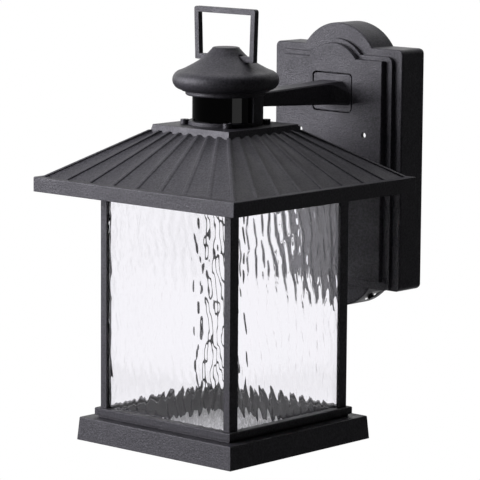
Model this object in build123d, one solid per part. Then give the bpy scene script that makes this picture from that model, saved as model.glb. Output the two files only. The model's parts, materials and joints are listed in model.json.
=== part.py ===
"""Outdoor wall lantern: a square glazed body under a ribbed hip roof, carried by an arm from a wall plate."""
from build123d import *
import math
import os

os.makedirs("parts", exist_ok=True)

# Everything is drawn about the lantern's own upright axis, with z = 0 on top of the eave,
# and is moved to the wall frame when it is written. All sizes are in millimetres.
WALL_Y = 168.5        # lantern axis to the wall
HOLE_Z = 26.0         # mounting holes above the top of the eave
HOLE_SPACING = 69.85  # between the two mounting holes
HOLE_R = 2.4

EAVE_HALF = 110.0     # half the roof's width
FASCIA_H = 12.0
SLOPE_FOOT = 103.5    # half width of the pans where the slope starts
SLOPE_TOP = 43.4
SLOPE_H = 38.4
PLATEAU_Z = 42.9      # flat top of the roof, where the arm is bolted
PANS = 8              # pans between the hips on each slope

POST_OUT = 71.2       # outer faces of the corner posts
POST_LEG_T = 2.5
POST_FRONT_W = 6.5    # leg seen from the front and back
POST_SIDE_W = 9.5     # leg seen from the sides
GLASS_T = 3.0
GLASS_LOW = -193.6
GLASS_TOP = -12.4

STEP_Z = -190.2       # top of the base
STEP_HALF = 74.7
WELL_HALF = 61.0      # inside of the base, down to its floor
LEDGE_Z = -211.2      # top of the plinth's ledge, which carries the step, the floor and the screws
LEDGE_T = 2.6
PLINTH_TOP = -198.0
PLINTH_LOW = -217.0
PLINTH_HALF_TOP = 83.4
PLINTH_HALF_LOW = 84.9

CEILING_Z = -4.0      # underside of the ceiling plate
HUB_R = 30.5
HUB_LOW = 46.0
HUB_TOP = 66.8
LENS_R = 27.0
LUG_RADIUS = 33.0
COLLAR_R = 32.6
COLLAR_TOP = 70.4
BORE_Z = 61.0         # wire way through the arm
WIRE_Y = 12.0         # where the leads turn down into the roof

PLATE_FRONT = 140.0   # front of the wall plate's outer tier
PANEL_FRONT = 132.5   # front of its raised panel
PLATE_BACK = 167.0
SHELL = 3.0

PIVOT_Z = 96.6        # handle pins
HANDLE_RUN = 0.06     # radial running gap of each pin
PIN_R = 2.2

KNOB_ANGLE = math.radians(-52.4)   # where the knob stands on the bottom arch
BULGE_R = 45.0
BULGE_LOW_Z = -78.0   # centre of the bottom arch
BULGE_TOP_Z = 73.0    # centre of the top arch

SHIFT = Location((0, -WALL_Y, -HOLE_Z))


def save(name, shape):
    """Writes one node, moved from the lantern's axis to the wall frame."""
    solids = [s.moved(SHIFT) for s in shape.solids()]
    export_step(solids[0] if len(solids) == 1 else Compound(solids), f"parts/{name}.step")


def box(x0, x1, y0, y1, z0, z1):
    centre = ((x0 + x1) / 2, (y0 + y1) / 2, (z0 + z1) / 2)
    return Pos(*centre) * Box(abs(x1 - x0), abs(y1 - y0), abs(z1 - z0))


def square(half, z0, z1):
    return box(-half, half, -half, half, z0, z1)


def rod(radius, start, end):
    """Round bar between two points."""
    along = Vector(*end) - Vector(*start)
    at = Plane(origin=start, z_dir=along.normalized())
    return at * Cylinder(radius, along.length, align=(Align.CENTER, Align.CENTER, Align.MIN))


def post_up(radius, x, y, z0, z1):
    return rod(radius, (x, y, z0), (x, y, z1))


def corners(reach):
    return [(sx * reach, sy * reach) for sx in (-1, 1) for sy in (-1, 1)]


def polygon_at(points, plane):
    return plane * make_face(Polyline(*points, close=True))


def frustum(half0, z0, half1, z1):
    low = Pos(0, 0, z0) * Rectangle(2 * half0, 2 * half0)
    high = Pos(0, 0, z1) * Rectangle(2 * half1, 2 * half1)
    return loft([low, high])


def screw(head_r, head_h, shank_r, head_at, tip):
    """Pan-head screw: the head's outer face is at head_at and the shank ends at tip."""
    a = Vector(*head_at)
    d = (Vector(*tip) - a).normalized()
    seat = a + d * head_h
    head = rod(head_r, tuple(a), tuple(seat))
    head = fillet(head.edges().filter_by(GeomType.CIRCLE).sort_by_distance(a)[0], head_h * 0.45)
    head -= rod(shank_r * 0.75, tuple(a), tuple(a + d * head_h * 0.5))
    return head + rod(shank_r, tuple(seat), tip)


# ---------------------------------------------------------------- roof

def ribbed_ring(half, rib_w, rib_out, dish, z):
    """Square ring whose sides carry rounded ribs with dished pans between, and a rib on each corner."""
    pitch = 2 * half / PANS
    flank = [(0.16, 1.0), (0.36, 0.72), (0.5, 0.0)]
    pan = [(rib_w * a, rib_out * b) for a, b in flank]
    for k in (1, 2, 3, 4, 5):
        t = k / 6
        pan.append((rib_w / 2 + (pitch - rib_w) * t, -dish * 4 * t * (1 - t)))
    pan += [(pitch - rib_w * a, rib_out * b) for a, b in reversed(flank)]
    side = [(-half - rib_out, -half - rib_out)]
    for i in range(PANS):
        side += [(-half + pitch * i + a, -half - b) for a, b in pan]
    points = []
    for turn in range(4):
        c, s = ((1, 0), (0, 1), (-1, 0), (0, -1))[turn]
        points += [(c * x - s * y, s * x + c * y) for x, y in side]
    return polygon_at(points, Plane.XY.offset(z))


def roof():
    foot = ribbed_ring(SLOPE_FOOT, 5.4, 1.7, 0.3, 0)
    top = ribbed_ring(SLOPE_TOP - 0.4, 3.4, 1.2, 2.7, SLOPE_H)
    slope = loft([foot, top], ruled=True)
    fascia = square(EAVE_HALF, -FASCIA_H, 0)
    fascia = fillet(fascia.edges().filter_by(Axis.Z), 1.2)
    fascia = fillet(fascia.faces().sort_by(Axis.Z)[-1].edges(), 0.9)
    plate = frustum(SLOPE_TOP, SLOPE_H - 3.2, 41.6, PLATEAU_Z)
    outer = fascia + slope + plate
    shell = outer - square(107, -FASCIA_H, CEILING_Z + 2) - frustum(101, CEILING_Z + 1.8, 41, 36)
    for x, y in corners(88):
        shell += post_up(4.5, x, y, CEILING_Z + 2, 14) & slope
    for x, y in corners(88):
        shell -= post_up(1.55, x, y, CEILING_Z + 2, 5)
    for x, y in corners(LUG_RADIUS / math.sqrt(2)):
        shell -= post_up(1.55, x, y, 30, PLATEAU_Z)
    shell -= post_up(5.5, 0, WIRE_Y, 30, PLATEAU_Z)
    return shell


# ------------------------------------------------- arm and sensor head

def arm_section(y):
    """Cross-section of the arm at y; it flares out over the last stretch before the wall plate."""
    t = max(0.0, (y - 115.0) / (PANEL_FRONT + 0.4 - 115.0))
    low = 55.6 - 5.6 * (y - 29) / 103
    high = 66.7 + 2.9 * (y - 29) / 103
    wide = 10 + 9.2 * t ** 2.8
    narrow = 10 + 2.4 * t ** 2
    shoulder = high - 1.2 - 8.5 * t ** 2
    half = [(wide - 1.4, low), (wide, low + 1.4), (wide, shoulder), (narrow - 1.1, high)]
    points = half + [(-x, z) for x, z in reversed(half)]
    return make_face(Polyline(*[(x, y, z) for x, z in points], close=True))


def arm():
    beam = loft([arm_section(y) for y in (20, 115, 119, 122.5, 125.5, 128, 130, 131.6, 132.9)], ruled=True)
    wall = post_up(HUB_R, 0, 0, HUB_LOW - 0.5, HUB_TOP) & box(-40, 40, 0, 40, 40, 80)
    body = beam + wall
    body -= post_up(26, 0, 0, HUB_LOW, HUB_TOP + 5)
    disc = post_up(HUB_R, 0, 0, PLATEAU_Z, HUB_LOW)
    body += disc
    for x, y in corners(LUG_RADIUS / math.sqrt(2)):
        body += post_up(3.5, x, y, PLATEAU_Z, 47.0) - post_up(26.5, 0, 0, PLATEAU_Z, 60)
    flange = box(-20.5, 20.5, 132.8, 138.4, 44.5, 75.5)
    flange = fillet(flange.edges().filter_by(Axis.Y), 3)
    body += flange
    for x in (-17, 17):
        body += rod(2.5, (x, 6.6, 56.5), (x, 21, 56.5))
        body -= rod(1.05, (x, 6.6, 56.5), (x, 13, 56.5))
    body -= rod(4, (0, 18, BORE_Z), (0, 140, BORE_Z))
    body -= post_up(5.5, 0, WIRE_Y, PLATEAU_Z - 1, HUB_LOW + 1)
    for x, y in corners(LUG_RADIUS / math.sqrt(2)):
        body -= post_up(1.7, x, y, 40, 50)
        body -= post_up(2.6, x, y, 45.6, 50)
    for x, y in housing_screw_places():
        body -= post_up(1.6, x, y, 40, HUB_TOP + 1)
        body -= post_up(2.7, x, y, 40, 45)
    for x, z in arm_screw_places():
        body -= rod(1.92, (x, 138.4, z), (x, 133.8, z))
    return body


def housing_screw_places():
    return [(28.2 * math.cos(a), 28.2 * math.sin(a)) for a in (math.radians(25), math.radians(155))]


def arm_screw_places():
    return [(x, z) for x in (-13.5, 13.5) for z in (51.5, 68.5)]


def sensor_lens():
    """Curved window around the front half of the sensor head."""
    ring = post_up(LENS_R, 0, 0, HUB_LOW + 0.05, HUB_TOP - 0.05)
    ring -= post_up(LENS_R - 2, 0, 0, 40, 70)
    return ring & box(-40, 40, -40, -0.3, 40, 70)


def sensor_board():
    board = box(-21, 21, 5, 6.6, 48, 65)
    for x in (-17, 17):
        board -= rod(1.2, (x, 4, 56.5), (x, 8, 56.5))
    return board


def cap_collar():
    collar = post_up(COLLAR_R, 0, 0, HUB_TOP, COLLAR_TOP)
    collar = chamfer(collar.faces().sort_by(Axis.Z)[0].edges(), 0.9)
    for y in (-16, 16):
        collar -= post_up(1.7, 0, y, HUB_TOP - 1, COLLAR_TOP + 1)
    for x, y in housing_screw_places():
        collar -= post_up(1.52, x, y, HUB_TOP - 1, 69.6)
    return collar


def cap_profile(closed):
    """Half profile of the bell-shaped cap, solid when closed and a thin bell otherwise."""
    line = Line((0, 105.5), (9.6, 105.5))
    lip = ThreePointArc((9.6, 105.5), (10.7, 105.1), (11.4, 104.2))
    slope = Spline((11.4, 104.2), (16, 99.3), (23, 94.0), (30, 90.0), (37.4, 86.5),
                   tangents=[(0.7, -0.72), (0.94, -0.34)])
    brim = ThreePointArc((37.4, 86.5), (43.2, 78.9), (36.5, 71.3))
    under = Line((36.5, 71.3), (35.6, COLLAR_TOP))
    edges = [line, lip, slope, brim, under]
    if closed:
        edges += [Polyline((35.6, COLLAR_TOP), (0, COLLAR_TOP), (0, 105.5))]
    else:
        edges += [Line((35.6, COLLAR_TOP), (32.2, COLLAR_TOP))]
        edges += [Line((32.2, COLLAR_TOP), (34.2, 73.6))]
        edges += [ThreePointArc((34.2, 73.6), (40.6, 79.0), (34.2, 84.6))]
        edges += [Polyline((34.2, 84.6), (27, 87.6), (22, 89.6), (0, 89.6), (0, 105.5))]
    return Plane.XZ * make_face(Wire(edges_of(edges)))


def edges_of(curves):
    found = []
    for curve in curves:
        found += list(curve.edges())
    return found


def cap():
    bell = revolve(cap_profile(False), Axis.Z)
    full = revolve(cap_profile(True), Axis.Z)
    for y in (-16, 16):
        bell += post_up(4, 0, y, COLLAR_TOP, 90) & full
    for y in (-16, 16):
        bell -= post_up(1.52, 0, y, COLLAR_TOP - 1, 82)
    for side in (-1, 1):
        bell -= rod(PIN_R + HANDLE_RUN, (side * 8, 0, PIVOT_Z), (side * 20, 0, PIVOT_Z))
        bell -= rod(3.65, (side * 15, 0, PIVOT_Z), (side * 34, 0, PIVOT_Z))
    return bell


def handle():
    """Square-bar bail whose feet go into round pockets in the cap and end in round pins."""
    plane = Plane(origin=(0, 2.3, 0), x_dir=(1, 0, 0), z_dir=(0, -1, 0))
    outer = polygon_at([(-31.7, 94.3), (-33.1, 137), (33.1, 137), (31.7, 94.3)], plane)
    inner = polygon_at([(-26.95, 90), (-28.45, 132.4), (28.45, 132.4), (26.95, 90)], plane)
    bow = extrude(outer, 4.6) - extrude(inner, 4.6)
    high = bow.edges().filter_by(Axis.Y).sort_by(Axis.Z)
    bow = fillet(high[-2:], 2.2)
    bow = fillet(bow.edges().filter_by(Axis.Y).sort_by(Axis.Z)[:4], 0.8)
    for side in (-1, 1):
        bow += box(side * 15.4, side * 28.5, -2.3, 2.3, PIVOT_Z - 2.3, PIVOT_Z + 2.3)
        bow += rod(PIN_R, (side * 16, 0, PIVOT_Z), (side * 8.5, 0, PIVOT_Z))
    return bow


# ------------------------------------------------------ glazed body

def post(sx, sy):
    """Corner post: an angle outside the glass, with a solid head and foot that take the screws."""
    near = POST_OUT - POST_LEG_T
    front = box(POST_OUT - POST_FRONT_W, POST_OUT, near, POST_OUT, STEP_Z, -12.2)
    side = box(near, POST_OUT, POST_OUT - POST_SIDE_W, POST_OUT, STEP_Z, -12.2)
    angle = front + side
    stub = box(64, POST_OUT, near, POST_OUT, -194, STEP_Z) + box(near, POST_OUT, 63, POST_OUT, -194, STEP_Z)
    foot = box(63, POST_OUT, 63, POST_OUT, -202.9, -194)
    head = box(63, POST_OUT, 63, POST_OUT, -12.2, CEILING_Z)
    body = angle + stub + foot + head
    body -= post_up(1.55, 67, 67, -203, -195.5)
    body -= post_up(1.55, 67, 67, -11, CEILING_Z + 1)
    if sx < 0:
        body = mirror(body, Plane.YZ)
    if sy < 0:
        body = mirror(body, Plane.XZ)
    return body


def pane(side):
    """One of the four glass panes; the front and back pair run the full width."""
    outer = POST_OUT - POST_LEG_T - 0.2
    if side in ("front", "back"):
        sheet = box(-68.3, 68.3, outer - GLASS_T, outer, GLASS_LOW, GLASS_TOP)
        return mirror(sheet, Plane.XZ) if side == "front" else sheet
    sheet = box(outer - GLASS_T, outer, -65.2, 65.2, GLASS_LOW, GLASS_TOP)
    return mirror(sheet, Plane.YZ) if side == "left" else sheet


def top_frame():
    """Square rail under the ceiling that holds the upper edges of the glass."""
    rail = square(72.4, -15, CEILING_Z) - square(60.5, -16, 0)
    rail -= square(68.8, -16, -12.2) - square(64.9, -16, -12.2)
    rail -= post_notches(-16, 0)
    return rail


def post_notches(z0, z1):
    notch = Compound([box(sx * 61.6, sx * 71.3, sy * 61.6, sy * 71.3, z0, z1)
                      for sx in (-1, 1) for sy in (-1, 1)])
    return notch


def ceiling_plate():
    plate = square(106, CEILING_Z, CEILING_Z + 2)
    plate -= post_up(30, 0, 0, -10, 5)
    for x, y in corners(67) + corners(88):
        plate -= post_up(1.7, x, y, -10, 5)
    for x, y in ring_places(3, 34):
        plate -= post_up(1.7, x, y, -10, 5)
    return plate


def ring_places(count, radius, turn=0.0):
    places = []
    for i in range(count):
        a = math.radians(turn + 360 * i / count)
        places.append((radius * math.cos(a), radius * math.sin(a)))
    return places


def heat_sink():
    sink = post_up(37.5, 0, 0, CEILING_Z + 2, 1)
    for i in range(-4, 5):
        reach = math.sqrt(35 ** 2 - (7.6 * i) ** 2)
        fin = box(7.6 * i - 0.8, 7.6 * i + 0.8, -reach, reach, 0.5, 12)
        sink += fin
    sink -= box(-9, 9, 3, 21, 1, 13)
    for x, y in ring_places(3, 34):
        sink -= post_up(1.52, x, y, -3, 0.2)
    return sink


def led_chips():
    places = ring_places(9, 19) + ring_places(5, 9, 20) + [(0, 0)]
    return Compound([box(x - 1.8, x + 1.8, y - 1.8, y + 1.8, -4.5, -3.6) for x, y in places])


def diffuser():
    cup = post_up(31, 0, 0, -14, CEILING_Z)
    cup = fillet(cup.faces().sort_by(Axis.Z)[0].edges(), 3)
    cup += post_up(37.5, 0, 0, -6, CEILING_Z)
    cup -= post_up(29, 0, 0, -12.2, CEILING_Z)
    for x, y in ring_places(3, 34):
        cup -= post_up(1.7, x, y, -15, 5)
    return cup


# ----------------------------------------------------------- base

def base_frame():
    """Upper step of the base: it holds the lower edges of the glass and the post feet."""
    ring = square(STEP_HALF, -196, STEP_Z)
    ring = chamfer(ring.faces().sort_by(Axis.Z)[-1].edges(), 0.6)
    ring += square(72.5, LEDGE_Z, -195.8)
    ring -= square(WELL_HALF, LEDGE_Z - 1, -180)
    ring -= square(68.8, -193.8, -180) - square(64.7, -193.8, -180)
    lip = square(64.7, -193.8, -191.8) - square(WELL_HALF, -194, -180)
    ring -= square(64.7, -191.8, -180)
    ring += lip
    for sx in (-1, 1):
        for sy in (-1, 1):
            ring -= box(sx * 62.9, sx * 71.3, sy * 62.9, sy * 71.3, -203, -180)
    for x, y in corners(67):
        ring -= post_up(1.75, x, y, LEDGE_Z - 1, -200)
    return ring


def base_floor():
    return square(WELL_HALF - 0.1, LEDGE_Z, LEDGE_Z + 2)


def base_plinth():
    """Lower step of the base: a drafted skirt with a ledge for the upper step and the floor."""
    skirt = frustum(PLINTH_HALF_LOW, PLINTH_LOW, PLINTH_HALF_TOP, PLINTH_TOP)
    skirt = fillet(skirt.faces().sort_by(Axis.Z)[-1].edges(), 0.8)
    skirt -= frustum(81.9, PLINTH_LOW - 1, 80.7, -201)
    skirt -= square(72.8, -230, -180)
    skirt += square(76, LEDGE_Z - LEDGE_T, -200) - square(72.8, -220, -190)
    skirt += square(74, LEDGE_Z - LEDGE_T, LEDGE_Z) - square(56, -220, -200)
    for x, y in corners(67):
        skirt -= post_up(1.75, x, y, -220, -200)
    return skirt


# ------------------------------------------------------ wall plate

def wall_plane(y):
    return Plane(origin=(0, y, 0), x_dir=(1, 0, 0), z_dir=(0, -1, 0))


def tier_outline(half, low, high, top_r, top_c, low_r, low_c, corner):
    """Outline with an arch on the top edge and, where low_r is given, one below."""
    flat = Pos(0, (low + high) / 2) * Rectangle(2 * half, high - low)
    if corner:
        flat = fillet(flat.vertices(), corner)
    flat += Pos(0, top_c) * Circle(top_r)
    if low_r:
        flat += Pos(0, low_c) * Circle(low_r)
    return flat


def tier(y_back, y_front, outline):
    return extrude(wall_plane(y_back) * outline, y_back - y_front)


def outer_outline(inset):
    return tier_outline(69.7 - inset, -103.8 + inset, 98.8 - inset, BULGE_R - inset, BULGE_TOP_Z,
                        BULGE_R - inset, BULGE_LOW_Z, 4.5 - min(inset, 3.5))


def panel_outline(inset, extra=0.0):
    return tier_outline(53.75 + extra - inset, -96.3 - extra + inset, 89 + extra * 0.5 - inset,
                        32 + extra * 0.5 - inset, 69.4, 0, 0, extra * 0.8)


def backplate():
    body = tier(PLATE_BACK, PLATE_FRONT, outer_outline(0))
    front = body.faces().sort_by(Axis.Y)[0]
    body = fillet(front.edges(), 1.3)
    body += tier(PLATE_FRONT + 1, PLATE_FRONT - 3.2, panel_outline(0, 7.2))
    panel = tier(PLATE_FRONT + 1, PANEL_FRONT, panel_outline(0))
    panel = chamfer(panel.faces().sort_by(Axis.Y)[0].edges(), 0.5)
    body += panel
    body -= tier(PLATE_BACK + 1, PLATE_FRONT + SHELL, outer_outline(SHELL))
    body -= tier(PLATE_FRONT + SHELL + 1, PANEL_FRONT + SHELL, panel_outline(SHELL + 1))
    body += box(-24.5, 24.5, PANEL_FRONT + 1, 141.5, 40.5, 79.5)
    pocket = box(-21.7, 21.7, PANEL_FRONT - 1, 138.5, 43.3, 76.7)
    body -= fillet(pocket.edges().filter_by(Axis.Y), 3.8)
    body -= rod(4.5, (0, 138, BORE_Z), (0, 145, BORE_Z))
    for x, z in arm_screw_places():
        body -= rod(2.1, (x, 137, z), (x, 143, z))
    for side in (-1, 1):
        body -= rod(HOLE_R, (side * HOLE_SPACING / 2, 130, HOLE_Z), (side * HOLE_SPACING / 2, 150, HOLE_Z))
    for x, z in driver_screw_places() + [(-42, -84)]:
        body += rod(4, (x, PANEL_FRONT + 1, z), (x, 150, z))
        body -= rod(1.55, (x, 141, z), (x, 151, z))
    body -= on_bulge() * knob_box(15.4, 15.4, -12, 4)
    return body


def driver_screw_places():
    return [(-38, -40), (38, -40)]


def wall_gasket():
    ring = tier(PLATE_BACK + 1.5, PLATE_BACK, outer_outline(0.5))
    return ring - tier(PLATE_BACK + 2, PLATE_BACK - 1, outer_outline(SHELL + 1))


def driver_case():
    case = box(-31, 31, 146, 162, -62, -18)
    case = fillet(case.edges(), 1.5)
    for x, z in driver_screw_places():
        ear = box(min(x, 0.7 * x), max(x, 0.7 * x), 150, 153, z - 5, z + 5)
        ear += rod(5, (x, 150, z), (x, 153, z))
        case += ear
    for x, z in driver_screw_places():
        case -= rod(1.8, (x, 149, z), (x, 154, z))
    return case


def lead(x):
    """One insulated lead from the driver, through the arm, down to the light."""
    points = [(x, 154, -18), (x, 154, BORE_Z), (x, WIRE_Y, BORE_Z), (x, WIRE_Y, 10)]
    path = FilletPolyline(*points, radius=4)
    start = Plane(origin=points[0], z_dir=(0, 0, 1))
    return sweep(start * Circle(0.95), path=path)


# ------------------------------------------------- knob on the wall plate

def on_bulge():
    """Place on the bottom arch: x along the arch, y along the wall plate's depth, z out of it."""
    out = Vector(math.cos(KNOB_ANGLE), 0, math.sin(KNOB_ANGLE))
    at = Vector(0, 154, BULGE_LOW_Z) + out * BULGE_R
    along = Vector(-math.sin(KNOB_ANGLE), 0, math.cos(KNOB_ANGLE))
    return Plane(origin=at, x_dir=along, z_dir=out)


def knob_box(length, depth, low, high):
    return Pos(0, 0, (low + high) / 2) * Box(length, depth, high - low)


def knob_rod(radius, low, high):
    return Pos(0, 0, low) * Cylinder(radius, high - low, align=(Align.CENTER, Align.CENTER, Align.MIN))


def control_panel():
    face = knob_box(15, 15, -3.4, -0.6)
    face -= knob_rod(2.16, -5, 2)
    for x, y in dot_places():
        face -= Pos(x, y, 0) * knob_rod(1.22, -2.2, 2)
    return on_bulge() * face


def dot_places():
    """The two ends of the knob's travel, on either side of it."""
    return [(4.1 * math.cos(math.radians(a)), 4.1 * math.sin(math.radians(a))) for a in (-40.5, 139.5)]


def panel_dots():
    dots = []
    for x, y in dot_places():
        peg = Pos(x, y, 0) * knob_rod(1.2, -2.2, 0.5)
        dots.append(fillet(peg.faces().sort_by(Axis.Z)[-1].edges(), 1.0))
    return on_bulge() * Compound(dots)


def control_switch():
    can = knob_box(13, 11, -10, -3.4)
    can -= knob_rod(2.16, -8.6, -3)
    return on_bulge() * can


def control_knob():
    grip = knob_rod(2.7, -0.2, 2.2)
    grip = fillet(grip.faces().sort_by(Axis.Z)[-1].edges(), 0.5)
    for turn in range(12):
        a = math.radians(30 * turn)
        grip -= Pos(2.9 * math.cos(a), 2.9 * math.sin(a), 0) * knob_rod(0.4, -1, 4)
    grip -= Rot(0, 0, 49.5) * Pos(1.3, 0, 2.0) * Box(3.2, 0.8, 0.8)
    grip += knob_rod(2.1, -8.4, 0)
    return on_bulge() * grip


# ------------------------------------------------------------ writing

def write_groups():
    lug = LUG_RADIUS / math.sqrt(2)
    save("lug_screws", Compound([screw(2.5, 1.3, 1.5, (x, y, 46.9), (x, y, 37)) for x, y in corners(lug)]))
    save("housing_screws", Compound([screw(2.5, 1.6, 1.5, (x, y, 43.4), (x, y, 69.4))
                                     for x, y in housing_screw_places()]))
    save("cap_screws", Compound([screw(3, 2, 1.5, (0, y, HUB_TOP - 2), (0, y, 80)) for y in (-16, 16)]))
    save("board_screws", Compound([screw(2, 1.3, 1.0, (x, 3.7, 56.5), (x, 12.5, 56.5)) for x in (-17, 17)]))
    save("arm_screws", Compound([screw(3.4, 2.2, 1.9, (x, 143.7, z), (x, 134, z))
                                 for x, z in arm_screw_places()]))
    save("post_screws", Compound([screw(3, 2, 1.5, (x, y, 0), (x, y, -10.5)) for x, y in corners(67)]))
    save("ceiling_screws", Compound([screw(3, 2, 1.5, (x, y, -6), (x, y, 4.5)) for x, y in corners(88)]))
    save("diffuser_screws", Compound([screw(2.6, 1.8, 1.5, (x, y, -7.8), (x, y, 0))
                                      for x, y in ring_places(3, 34)]))
    seat = LEDGE_Z - LEDGE_T
    save("base_screws", Compound([screw(3.2, 2.2, 1.5, (x, y, seat - 2.2), (x, y, -196))
                                  for x, y in corners(67)]))
    save("driver_screws", Compound([screw(3, 2, 1.5, (x, 155, z), (x, 142, z))
                                    for x, z in driver_screw_places()]))
    save("ground_screw", screw(3.4, 2.2, 1.5, (-42, 152.2, -84), (-42, 142, -84)))


def write_body():
    save("roof", roof())
    save("top_frame", top_frame())
    save("ceiling_plate", ceiling_plate())
    save("heat_sink", heat_sink())
    save("terminal_block", box(-6, 6, 8, 16, 1, 10))
    save("led_board", post_up(27, 0, 0, -3.6, CEILING_Z + 2))
    save("led_chips", led_chips())
    save("diffuser", diffuser())
    save("post_front_left", post(-1, -1))
    save("post_front_right", post(1, -1))
    save("post_rear_left", post(-1, 1))
    save("post_rear_right", post(1, 1))
    for side in ("front", "back", "left", "right"):
        save("glass_" + side, pane(side))
    save("base_frame", base_frame())
    save("base_floor", base_floor())
    save("base_plinth", base_plinth())


def write_head():
    save("arm", arm())
    save("sensor_lens", sensor_lens())
    save("sensor_board", sensor_board())
    save("motion_element", rod(4.6, (0, 5, 56.5), (0, 0.8, 56.5)))
    save("light_cell", rod(2.4, (12, 5, 61), (12, 3, 61)))
    save("cap_collar", cap_collar())
    save("cap", cap())
    save("handle", handle())


def write_wall_plate():
    save("backplate", backplate())
    save("wall_gasket", wall_gasket())
    save("driver_case", driver_case())
    save("control_panel", control_panel())
    save("panel_dots", panel_dots())
    save("control_switch", control_switch())
    save("control_knob", control_knob())
    for name, x in (("lead_live", -2.3), ("lead_neutral", 0.0), ("lead_signal", 2.3)):
        save(name, lead(x))


write_body()
write_head()
write_wall_plate()
write_groups()
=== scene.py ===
import json
import math

import bmesh
import bpy
import numpy as np
from mathutils import Matrix, Vector


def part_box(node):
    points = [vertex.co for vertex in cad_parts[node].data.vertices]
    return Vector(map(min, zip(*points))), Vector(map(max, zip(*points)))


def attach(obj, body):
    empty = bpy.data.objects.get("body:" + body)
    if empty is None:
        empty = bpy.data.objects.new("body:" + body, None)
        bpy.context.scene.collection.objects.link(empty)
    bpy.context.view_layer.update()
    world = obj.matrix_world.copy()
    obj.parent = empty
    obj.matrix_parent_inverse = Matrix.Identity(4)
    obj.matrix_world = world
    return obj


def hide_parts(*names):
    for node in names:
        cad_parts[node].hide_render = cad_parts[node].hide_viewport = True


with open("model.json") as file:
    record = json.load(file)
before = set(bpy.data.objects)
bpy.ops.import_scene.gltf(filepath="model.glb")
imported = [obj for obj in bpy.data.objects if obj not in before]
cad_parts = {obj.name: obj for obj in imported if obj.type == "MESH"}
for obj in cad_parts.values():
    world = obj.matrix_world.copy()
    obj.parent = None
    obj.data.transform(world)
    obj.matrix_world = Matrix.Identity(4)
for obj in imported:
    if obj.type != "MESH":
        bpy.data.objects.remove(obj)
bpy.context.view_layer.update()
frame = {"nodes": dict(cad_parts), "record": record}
nodes = frame["nodes"]
scene = bpy.context.scene

COOL = (1.0, 0.98, 1.07)      # tint of the lamps that light the paint
LANTERN_Y = -0.1685           # the lantern's upright axis
STEP_ACROSS = 0.00065         # spacing of a rolled sheet's points
STEP_UP = 0.0012
SHEET_SLACK = 0.0001          # a rolled sheet's thickest place is this much under the CAD pane
FIRST_SEED = 11


# ------------------------------------------------------------ camera and light

def look_at(obj, target, roll=0.0):
    forward = (Vector(target) - obj.location).normalized()
    turn = forward.to_track_quat("-Z", "Y")
    obj.rotation_euler = (turn.to_matrix() @ Matrix.Rotation(roll, 3, "Z")).to_euler()


def add_camera():
    data = bpy.data.cameras.new("camera")
    data.sensor_width = 36
    data.lens = 222.52
    data.clip_end = 200
    cam = bpy.data.objects.new("camera", data)
    scene.collection.objects.link(cam)
    cam.location = (1.6093, -1.9314, 0.2786)
    look_at(cam, (0.0092, -0.1602, -0.0778), math.radians(0.413))
    scene.camera = cam


def area_light(name, place, target, width, height, power, colour=(1, 1, 1)):
    data = bpy.data.lights.new(name, "AREA")
    data.shape = "RECTANGLE"
    data.size = width
    data.size_y = height
    data.energy = power
    data.color = colour
    lamp = bpy.data.objects.new(name, data)
    scene.collection.objects.link(lamp)
    lamp.location = place
    look_at(lamp, target)
    lamp.visible_camera = False
    lamp.visible_transmission = False
    return lamp


def link_light(lamp, pieces, only):
    """The lamp lights those pieces alone when only is true, and everything but them otherwise."""
    group = bpy.data.collections.new(lamp.name + "_receivers")
    for piece in pieces:
        group.objects.link(piece)
    lamp.light_linking.receiver_collection = group
    if not only:
        for member in group.collection_objects:
            member.light_linking.link_state = "EXCLUDE"


def seen_directly(nt):
    """1 for rays from the camera or through glass, 0 for the rest."""
    path = nt.nodes.new("ShaderNodeLightPath")
    either = nt.nodes.new("ShaderNodeMath")
    either.operation = "MAXIMUM"
    nt.links.new(path.outputs["Is Camera Ray"], either.inputs[0])
    nt.links.new(path.outputs["Is Transmission Ray"], either.inputs[1])
    return either.outputs[0]


def studio():
    """Plain white where it is seen; as a light, bright behind on the left and dark elsewhere."""
    world = bpy.data.worlds.new("studio")
    scene.world = world
    world.use_nodes = True
    nt = world.node_tree
    nt.nodes.clear()
    out = nt.nodes.new("ShaderNodeOutputWorld")
    mix = nt.nodes.new("ShaderNodeMixShader")
    plain = nt.nodes.new("ShaderNodeBackground")
    plain.inputs["Color"].default_value = (1, 1, 1, 1)
    around = nt.nodes.new("ShaderNodeBackground")
    coord = nt.nodes.new("ShaderNodeTexCoord")
    dot = nt.nodes.new("ShaderNodeVectorMath")
    dot.operation = "DOT_PRODUCT"
    dot.inputs[1].default_value = (-0.67, 0.74, 0.05)
    ramp = nt.nodes.new("ShaderNodeValToRGB")
    ramp.color_ramp.elements[0].position = 0.45
    ramp.color_ramp.elements[0].color = (0.012, 0.012, 0.013, 1)
    ramp.color_ramp.elements[1].position = 0.8
    ramp.color_ramp.elements[1].color = (1, 1, 1, 1)
    nt.links.new(coord.outputs["Generated"], dot.inputs[0])
    nt.links.new(dot.outputs["Value"], ramp.inputs["Fac"])
    nt.links.new(ramp.outputs["Color"], around.inputs["Color"])
    nt.links.new(seen_directly(nt), mix.inputs["Fac"])
    nt.links.new(around.outputs[0], mix.inputs[1])
    nt.links.new(plain.outputs[0], mix.inputs[2])
    nt.links.new(mix.outputs[0], out.inputs["Surface"])


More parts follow.
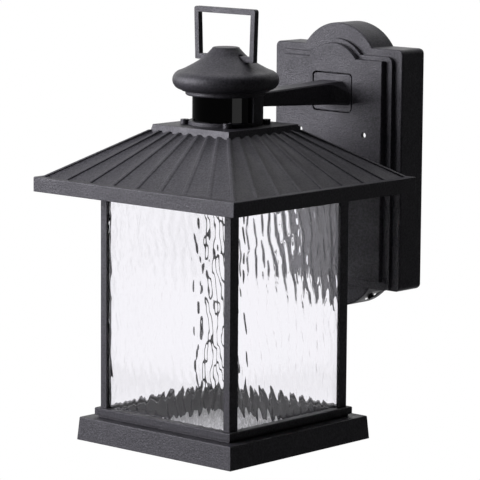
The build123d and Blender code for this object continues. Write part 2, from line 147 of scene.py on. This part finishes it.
def add_lamps(panes):
    """Key from the left, top light and a sweep low behind, which all leave out lens and panes.

    The strip lights the lens alone and the glint the pegs alone. The inner lamp lights the floor
    alone, in place of the daylight that the panes would let down to it.
    """
    mid = (0, -0.16, -0.02)
    key = area_light("key", (-1.05, -1.3, 0.38), (0, -0.16, 0.18), 1.4, 1.0, 35, COOL)
    top = area_light("top", (-0.25, 0.1, 1.85), mid, 1.8, 1.6, 16, COOL)
    sweep = area_light("sweep", (-0.5, 1.1, -1.0), mid, 1.0, 1.0, 2.2)
    glint = area_light("glint", (0.8, -0.5, -0.9), (0.02, -0.15, -0.15), 0.4, 0.4, 16)
    inner = area_light("inner", (0, -0.1685, -0.06), (0, -0.1684, -0.2), 0.09, 0.09, 0.14)
    strip = area_light("strip", (1.5, -0.38, 0.1), mid, 0.95, 0.7, 2.2)
    lens = nodes["sensor_lens"]
    for lamp in (key, top, sweep):
        link_light(lamp, [lens, *panes], False)
    link_light(strip, [lens], True)
    link_light(glint, [nodes["panel_dots"]], True)
    link_light(inner, [nodes["base_floor"]], True)


def add_floor():
    bm = bmesh.new()
    bmesh.ops.create_grid(bm, x_segments=8, y_segments=8, size=40)
    mesh = bpy.data.meshes.new("floor")
    bm.to_mesh(mesh)
    bm.free()
    floor = bpy.data.objects.new("floor", mesh)
    floor.location = (0, 0, -1.8)
    scene.collection.objects.link(floor)
    mat = bpy.data.materials.new("floor")
    mat.use_nodes = True
    nt = mat.node_tree
    shader = nt.nodes["Principled BSDF"]
    shader.inputs["Base Color"].default_value = (0.45, 0.45, 0.46, 1)
    shader.inputs["Roughness"].default_value = 0.9
    glow = nt.nodes.new("ShaderNodeEmission")
    mix = nt.nodes.new("ShaderNodeMixShader")
    nt.links.new(seen_directly(nt), mix.inputs["Fac"])
    nt.links.new(shader.outputs[0], mix.inputs[1])
    nt.links.new(glow.outputs[0], mix.inputs[2])
    nt.links.new(mix.outputs[0], nt.nodes["Material Output"].inputs["Surface"])
    mesh.materials.append(mat)


# ------------------------------------------------------------------- materials

class Look:
    """Small helper round one material's node tree."""

    def __init__(self, name, base, rough, **fixed):
        self.mat = bpy.data.materials.new(name)
        self.mat.use_nodes = True
        self.nt = self.mat.node_tree
        self.shader = self.nt.nodes["Principled BSDF"]
        self.shader.inputs["Base Color"].default_value = (*base, 1)
        self.shader.inputs["Roughness"].default_value = rough
        for key, value in fixed.items():
            self.shader.inputs[key.replace("_", " ")].default_value = value
        self.coord = self.nt.nodes.new("ShaderNodeTexCoord").outputs["Object"]

    def noise(self, scale, detail=2.0, stretch=None):
        tex = self.nt.nodes.new("ShaderNodeTexNoise")
        tex.inputs["Scale"].default_value = scale
        tex.inputs["Detail"].default_value = detail
        source = self.coord
        if stretch:
            mapping = self.nt.nodes.new("ShaderNodeMapping")
            mapping.inputs["Scale"].default_value = stretch
            self.nt.links.new(source, mapping.inputs["Vector"])
            source = mapping.outputs["Vector"]
        self.nt.links.new(source, tex.inputs["Vector"])
        return tex.outputs["Fac"]

    def spread(self, fac, low, high):
        node = self.nt.nodes.new("ShaderNodeMapRange")
        node.inputs["From Min"].default_value = 0.3
        node.inputs["From Max"].default_value = 0.7
        node.inputs["To Min"].default_value = low
        node.inputs["To Max"].default_value = high
        self.nt.links.new(fac, node.inputs["Value"])
        return node.outputs["Result"]

    def colours(self, fac, dark, light, lo=0.35, hi=0.65):
        ramp = self.nt.nodes.new("ShaderNodeValToRGB")
        ramp.color_ramp.elements[0].position = lo
        ramp.color_ramp.elements[0].color = (*dark, 1)
        ramp.color_ramp.elements[1].position = hi
        ramp.color_ramp.elements[1].color = (*light, 1)
        self.nt.links.new(fac, ramp.inputs["Fac"])
        self.nt.links.new(ramp.outputs["Color"], self.shader.inputs["Base Color"])

    def rough(self, fac, low, high):
        self.nt.links.new(self.spread(fac, low, high), self.shader.inputs["Roughness"])

    def bump(self, heights, round_edges=0.0):
        """heights is a list of (texture, height in metres, strength)."""
        normal = None
        if round_edges:
            bevel = self.nt.nodes.new("ShaderNodeBevel")
            bevel.samples = 6
            bevel.inputs["Radius"].default_value = round_edges
            normal = bevel.outputs["Normal"]
        for fac, height, strength in heights:
            node = self.nt.nodes.new("ShaderNodeBump")
            node.inputs["Distance"].default_value = height
            node.inputs["Strength"].default_value = strength
            self.nt.links.new(fac, node.inputs["Height"])
            if normal is not None:
                self.nt.links.new(normal, node.inputs["Normal"])
            normal = node.outputs["Normal"]
        self.nt.links.new(normal, self.shader.inputs["Normal"])


def black_paint():
    """Sand-textured satin black powder coat on castings."""
    look = Look("sand_black", (0.03, 0.03, 0.032), 0.5, Specular_IOR_Level=0.5)
    sand = look.noise(900, 4.0)
    broad = look.noise(60, 3.0)
    look.colours(look.noise(600, 3.0), (0.022, 0.0213, 0.0245), (0.058, 0.056, 0.0635))
    look.rough(broad, 0.42, 0.54)
    look.bump([(broad, 0.0004, 0.25), (sand, 0.0004, 0.8)], 0.0006)
    return look.mat


def glass_look():
    look = Look("rippled_glass", (0.982, 0.976, 1.0), 0.02, Transmission_Weight=1.0, IOR=1.5)
    look.rough(look.noise(40, 2.0), 0.0, 0.01)
    look.bump([(look.noise(500, 2.0), 0.00002, 0.2)])
    return look.mat


def lens_look():
    look = Look("lens_black", (0.002, 0.002, 0.0022), 0.05, IOR=1.5, Specular_IOR_Level=0.25)
    look.rough(look.noise(150, 2.0), 0.02, 0.07)
    look.bump([(look.noise(260, 1.0, (1, 1, 0.25)), 0.00003, 0.2)])
    return look.mat


def plated(name, base, rough):
    look = Look(name, base, rough, Metallic=1.0)
    fac = look.noise(700, 3.0)
    look.colours(fac, tuple(0.8 * c for c in base), base)
    look.rough(look.noise(220, 3.0), rough * 0.8, rough * 1.3)
    look.bump([(fac, 0.00004, 0.3)], 0.0002)
    return look.mat


def moulded(name, base, rough, grain=900):
    look = Look(name, base, rough)
    fac = look.noise(grain, 3.0)
    look.colours(fac, tuple(0.86 * c for c in base), base)
    look.rough(look.noise(90, 3.0), rough * 0.85, min(1.0, rough * 1.15))
    look.bump([(fac, 0.00008, 0.35)], 0.0003)
    return look.mat


def board(name, base):
    look = Look(name, base, 0.35)
    tracks = look.noise(320, 0.0, (1, 1, 0.4))
    look.colours(tracks, tuple(0.7 * c for c in base), base, 0.48, 0.52)
    look.rough(look.noise(200, 2.0), 0.3, 0.42)
    look.bump([(tracks, 0.00005, 0.4)])
    return look.mat


def opal_look():
    look = Look("opal", (0.86, 0.86, 0.84), 0.35, Subsurface_Weight=0.4, Subsurface_Scale=0.004)
    look.rough(look.noise(120, 2.0), 0.3, 0.45)
    look.bump([(look.noise(800, 2.0), 0.00004, 0.3)])
    return look.mat


def sheet_look():
    """Pale enamel on the sheet that closes the roof and on the lantern's floor."""
    look = Look("pale_enamel", (0.66, 0.66, 0.67), 0.25)
    look.colours(look.noise(30, 3.0), (0.6, 0.6, 0.61), (0.72, 0.72, 0.73))
    look.rough(look.noise(80, 3.0), 0.2, 0.34)
    look.bump([(look.noise(400, 2.0), 0.00005, 0.3)])
    return look.mat


def paint_nodes():
    by_slot = {
        "black_metal": black_paint(),
        "glass": glass_look(),
        "lens": lens_look(),
        "zinc": plated("zinc", (0.62, 0.61, 0.6), 0.32),
        "dark_screw": plated("dark_screw", (0.16, 0.16, 0.17), 0.35),
        "gasket": moulded("gasket", (0.02, 0.02, 0.02), 0.9, 500),
        "black_plastic": moulded("black_plastic", (0.012, 0.012, 0.013), 0.3),
        "white_dots": moulded("white_dots", (0.85, 0.85, 0.85), 0.4),
        "board_green": board("board_green", (0.03, 0.16, 0.07)),
        "board_white": board("board_white", (0.8, 0.8, 0.78)),
        "chip": moulded("chip", (0.9, 0.75, 0.28), 0.4),
        "opal": opal_look(),
        "white_sheet": sheet_look(),
        "sink": plated("sink", (0.7, 0.71, 0.72), 0.4),
        "element": plated("element", (0.6, 0.6, 0.6), 0.25),
        "cell": moulded("cell", (0.55, 0.3, 0.16), 0.25),
        "case": moulded("case", (0.7, 0.7, 0.68), 0.5),
        "ground": plated("ground", (0.03, 0.3, 0.08), 0.4),
        "lead_black": moulded("lead_black", (0.015, 0.015, 0.015), 0.45),
        "lead_white": moulded("lead_white", (0.8, 0.8, 0.8), 0.45),
        "lead_red": moulded("lead_red", (0.5, 0.03, 0.02), 0.45),
    }
    slot_of = {s["node"]: s["material_slot"] for s in frame["record"]["subparts"]}
    for name, obj in nodes.items():
        look = by_slot[slot_of[name]]
        obj.data.materials.clear()
        obj.data.materials.append(look)
    return by_slot


# ----------------------------------------------------------------- glass panes

def crests(rng, across, up, pitch, reach, lean):
    """A field of crests, from -1 to 1, about one pitch apart, that lean, wander and fork.

    It is a sum of plane waves of nearly one length, evened out to one height all over.
    """
    field = np.zeros(across.shape, dtype=complex)
    for _ in range(16):
        kx = 2 * math.pi / pitch * rng.uniform(0.8, 1.2)
        kz = lean * kx + 2 * math.pi / reach * rng.normal()
        field += np.exp(1j * (kx * across + kz * up + rng.uniform(0, 2 * math.pi)))
    return field.real / np.sqrt(np.abs(field) ** 2 + 0.35 * np.mean(np.abs(field) ** 2))


def ripple_heights(seed, width, tall, nx, nz):
    """Waves of rolled water glass, in metres above the pane's lowest point."""
    rng = np.random.default_rng(seed)
    across, up = np.meshgrid(np.linspace(0, width, nx), np.linspace(0, tall, nz))
    heights = 0.00023 * crests(rng, across, up, 0.0098, 0.042, 0.1)
    heights += 0.00006 * crests(rng, across, up, 0.0056, 0.022, 0.1)
    heights += 0.000006 * crests(rng, across, up, 0.0027, 0.06, 0.0)
    return heights - heights.min()


def sheet_faces(nx, nz):
    """Faces of a closed sheet of two nx by nz grids of points, the rim's last, and their count."""
    count = nx * nz
    faces = []
    for j in range(nz - 1):
        for i in range(nx - 1):
            a = j * nx + i
            faces.append((a, a + 1, a + nx + 1, a + nx))
            faces.append((count + a, count + a + nx, count + a + nx + 1, count + a + 1))
    rim = list(range(nx)) + [j * nx + nx - 1 for j in range(1, nz)]
    rim += [(nz - 1) * nx + i for i in range(nx - 2, -1, -1)]
    rim += [j * nx for j in range(nz - 2, 0, -1)]
    for a, b in zip(rim, rim[1:] + rim[:1]):
        faces.append((b, a, count + a, count + b))
    return faces, len(rim)


def pane(node, seed, look):
    """Replaces one flat pane with a rolled sheet, rippled on its inner face."""
    low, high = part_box(node)
    low, high = Vector(low), Vector(high)
    thin = 0 if high.x - low.x < high.y - low.y else 1
    wide = 1 - thin
    outward = 1 if (low[thin] + high[thin]) / 2 > (0, LANTERN_Y)[thin] else -1
    outer = high[thin] if outward > 0 else low[thin]
    width, tall = high[wide] - low[wide], high.z - low.z
    nx, nz = int(width / STEP_ACROSS) + 1, int(tall / STEP_UP) + 1
    drop = ripple_heights(seed, width, tall, nx, nz)
    u = np.linspace(low[wide], high[wide], nx)
    v = np.linspace(low.z, high.z, nz)
    grid_u, grid_v = np.meshgrid(u, v)
    thick = (high[thin] - low[thin]) - SHEET_SLACK - drop
    front = np.zeros((nz * nx, 3))
    back = np.zeros((nz * nx, 3))
    for side, depth in ((front, np.zeros_like(drop)), (back, thick)):
        side[:, wide] = grid_u.ravel()
        side[:, 2] = grid_v.ravel()
        side[:, thin] = (outer - outward * depth).ravel()
    faces, rim_count = sheet_faces(nx, nz)
    mesh = bpy.data.meshes.new(node + "_rolled")
    mesh.from_pydata(np.concatenate([front, back]).tolist(), [], faces)
    mesh.update()
    bm = bmesh.new()
    bm.from_mesh(mesh)
    bmesh.ops.recalc_face_normals(bm, faces=bm.faces)
    bm.to_mesh(mesh)
    bm.free()
    first_rim = len(mesh.polygons) - rim_count
    for poly in mesh.polygons:
        poly.use_smooth = poly.index < first_rim
    mesh.materials.append(look)
    obj = bpy.data.objects.new(node + "_rolled", mesh)
    scene.collection.objects.link(obj)
    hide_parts(node)
    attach(obj, "fixture")
    return obj


add_camera()
studio()
add_floor()
looks = paint_nodes()
sides = ("glass_front", "glass_right", "glass_back", "glass_left")
add_lamps([pane(name, FIRST_SEED + k, looks["glass"]) for k, name in enumerate(sides)])

scene.view_settings.view_transform = "Standard"
